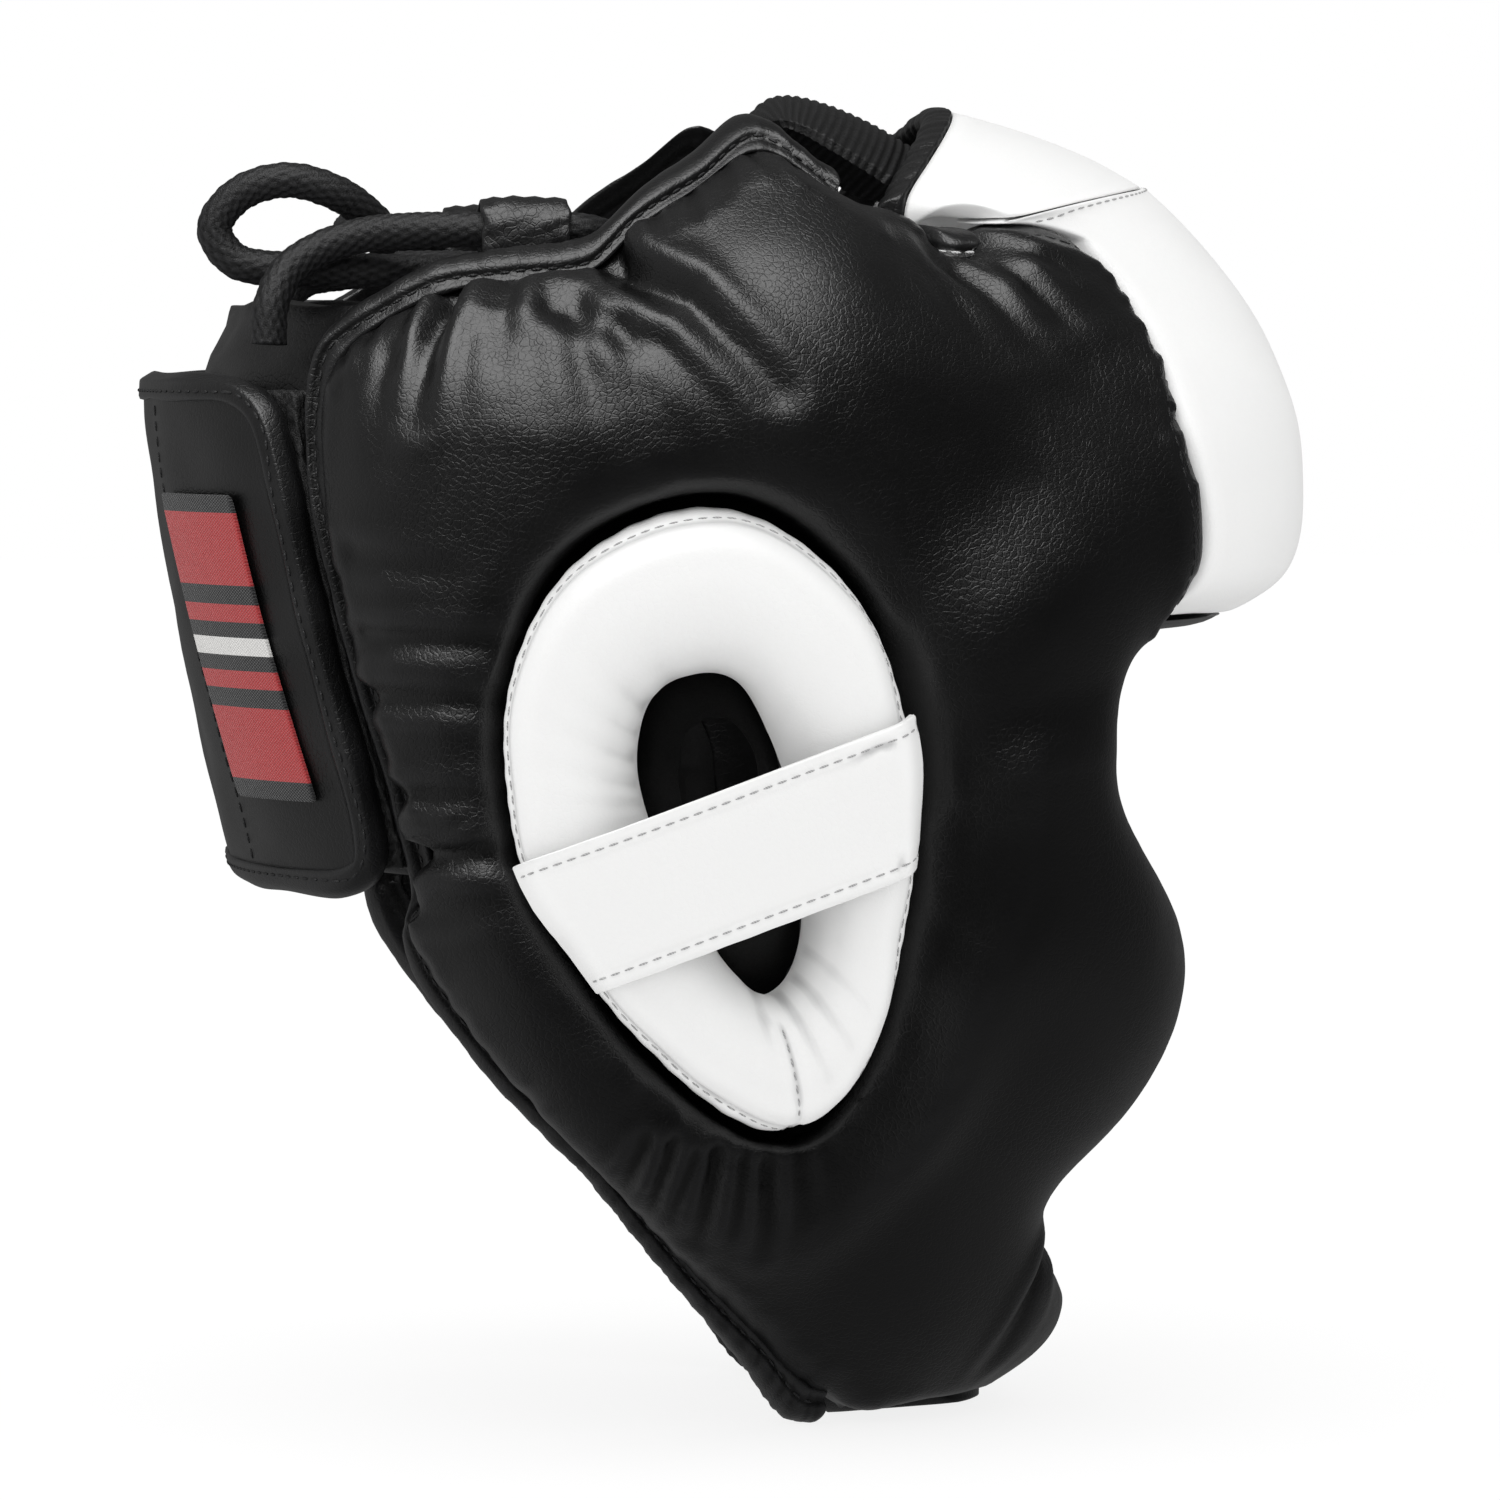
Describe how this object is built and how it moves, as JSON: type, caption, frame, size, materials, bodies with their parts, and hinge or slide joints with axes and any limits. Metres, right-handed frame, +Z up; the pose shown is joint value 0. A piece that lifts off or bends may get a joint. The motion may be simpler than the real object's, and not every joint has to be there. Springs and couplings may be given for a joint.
{
  "type": "kickboxing headgear",
  "caption": "Padded leather headgear with ear rings, cheek guards, a brow pad, an open crown with a lace, and a closing strap behind the head.",
  "frame": {"origin": "on the surface that the headgear stands on, under the middle of its outline", "axes": "+X the way the face looks, +Y to the wearer's left, +Z up"},
  "size_m": [0.2482, 0.2192, 0.2811],
  "materials": {
    "black_leather": "semi-gloss, fine pebble grain",
    "white_leather": "satin, very fine grain",
    "braided_lace": "round braid, matt",
    "knit_elastic": "ribbed knit, matt",
    "loop_pile": "loop pile, fuzzy",
    "woven_patch": "plain woven stripes"
  },
  "bodies": {
    "root": {"lace": "braided_lace", "side_shell_right": "black_leather", "side_shell_left": "black_leather", "edge_binding_right": "black_leather", "edge_binding_left": "black_leather", "wing_binding_right": "black_leather", "wing_binding_left": "black_leather", "ear_ring_right": "white_leather", "ear_ring_left": "white_leather", "ear_strap_right": "white_leather", "ear_strap_left": "white_leather", "forehead_pad": "white_leather", "brow_trim": "black_leather", "crown_flap": "white_leather", "crown_flap_binding": "black_leather", "back_panel": "black_leather", "loop_patch": "loop_pile", "back_strap": "black_leather", "back_strap_binding": "black_leather", "label_patch": "woven_patch", "crown_webbing": "knit_elastic", "chin_strap": "black_leather", "lace_loop_right": "black_leather", "lace_loop_left": "black_leather"}
  },
  "joints": []
}
